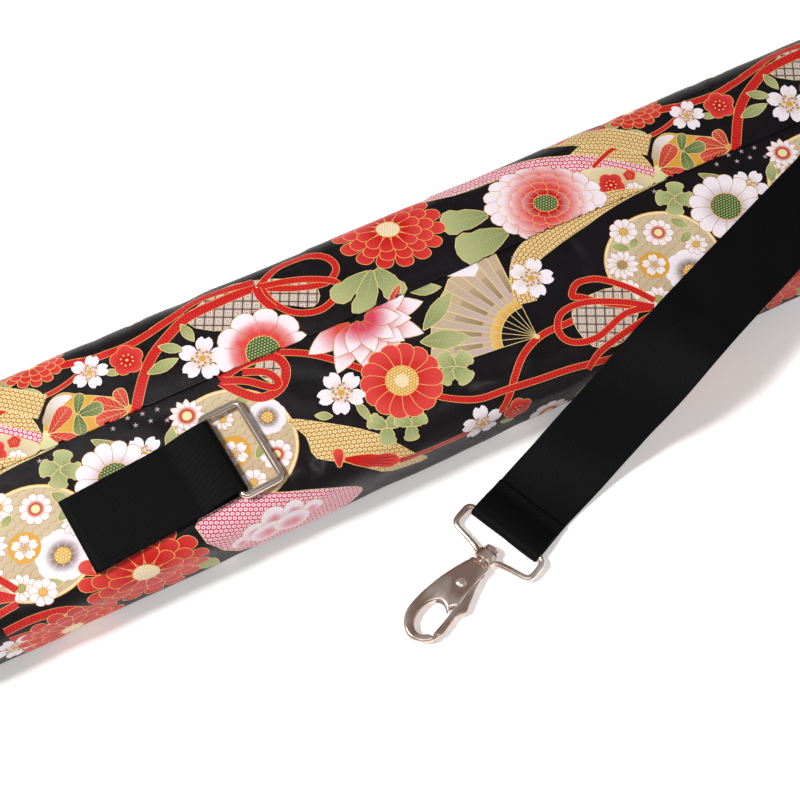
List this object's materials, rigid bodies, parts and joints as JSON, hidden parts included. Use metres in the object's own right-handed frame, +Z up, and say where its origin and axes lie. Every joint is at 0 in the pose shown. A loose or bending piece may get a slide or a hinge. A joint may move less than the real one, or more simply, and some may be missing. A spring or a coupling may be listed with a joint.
{
  "type": "soft shamisen case",
  "caption": "Long padded cloth carrying case for a shamisen, with a zip under a fly, ring tabs, and a webbing shoulder strap with a swivel snap hook.",
  "frame": {"origin": "middle of the case's flat underside, on the surface that it lies on", "axes": "+X along the case from the head end to the body end, +Y towards the rear side where the fly is hinged, +Z up"},
  "size_m": [1.0871, 0.2529, 0.1166],
  "materials": {
    "printed_cloth": "satin laminated print",
    "foam": "open-cell foam",
    "lining": "soft brushed lining",
    "zip_tape": "woven tape",
    "zip_teeth": "nylon coil",
    "zip_metal": "polished nickel plate",
    "webbing": "fine diagonal weave",
    "ring_metal": "polished nickel plate",
    "hook_metal": "polished nickel plate",
    "spring_steel": "drawn wire"
  },
  "bodies": {
    "case": {"front_panel": "printed_cloth", "rear_panel": "printed_cloth", "bottom_panel": "printed_cloth", "head_end_panel": "printed_cloth", "body_end_panel": "printed_cloth", "fly_hem": "printed_cloth", "front_foam": "foam", "rear_foam": "foam", "bottom_foam": "foam", "head_end_foam": "foam", "body_end_foam": "foam", "front_lining": "lining", "rear_lining": "lining", "bottom_lining": "lining", "head_end_lining": "lining", "body_end_lining": "lining", "zip_tape_front": "zip_tape", "zip_tape_rear": "zip_tape", "zip_teeth_front": "zip_teeth", "zip_teeth_rear": "zip_teeth", "zip_head_stop": "zip_metal", "zip_body_stop": "zip_metal", "ring_tab_1": "webbing", "ring_tab_2": "webbing", "shoulder_strap": "webbing", "ring_2": "ring_metal", "strap_adjuster": "ring_metal"},
    "fly": {"zip_fly": "printed_cloth"},
    "slider": {"zip_slider": "zip_metal"},
    "pull": {"zip_pull": "zip_metal"},
    "ring": {"ring_1": "ring_metal"},
    "hook_loop": {"hook_base": "hook_metal"},
    "hook": {"hook_post": "hook_metal", "hook_frame": "hook_metal", "hook_rivet": "hook_metal", "gate_spring": "spring_steel"},
    "gate": {"hook_gate": "hook_metal"}
  },
  "joints": [
    {"name": "fly_lift", "type": "hinge", "parent": "case", "child": "fly", "pos_m": [0, 0.0415, 0.0519], "axis": [-1, 0, 0], "range_deg": [0, 165]},
    {"name": "zip_slide", "type": "slide", "parent": "case", "child": "slider", "axis": [1, 0, 0], "range_m": [0, 0.69]},
    {"name": "pull_swing", "type": "hinge", "parent": "slider", "child": "pull", "pos_m": [-0.48, 0.027, 0.045], "axis": [0, 1, 0], "range_deg": [0, 150]},
    {"name": "ring_swing", "type": "hinge", "parent": "case", "child": "ring", "pos_m": [-0.1665, -0.0285, 0.0537], "axis": [0.0785, -0.9969, 0], "range_deg": [0, 150]},
    {"name": "hook_fold", "type": "hinge", "parent": "case", "child": "hook_loop", "pos_m": [-0.0565, -0.103, 0.0044], "axis": [-0.4067, 0.9135, 0], "range_deg": [0, 150]},
    {"name": "hook_swivel", "type": "hinge", "parent": "hook_loop", "child": "hook", "pos_m": [-0.0565, -0.103, 0.0044], "axis": [-0.9135, -0.4067, 0], "continuous": true},
    {"name": "gate_open", "type": "hinge", "parent": "hook", "child": "gate", "pos_m": [-0.08797, -0.11592, 0.0044], "axis": [0, 0, -1], "range_deg": [0, 16], "stiffness_Nm_per_rad": 0.02, "springref_deg": -14.32}
  ]
}
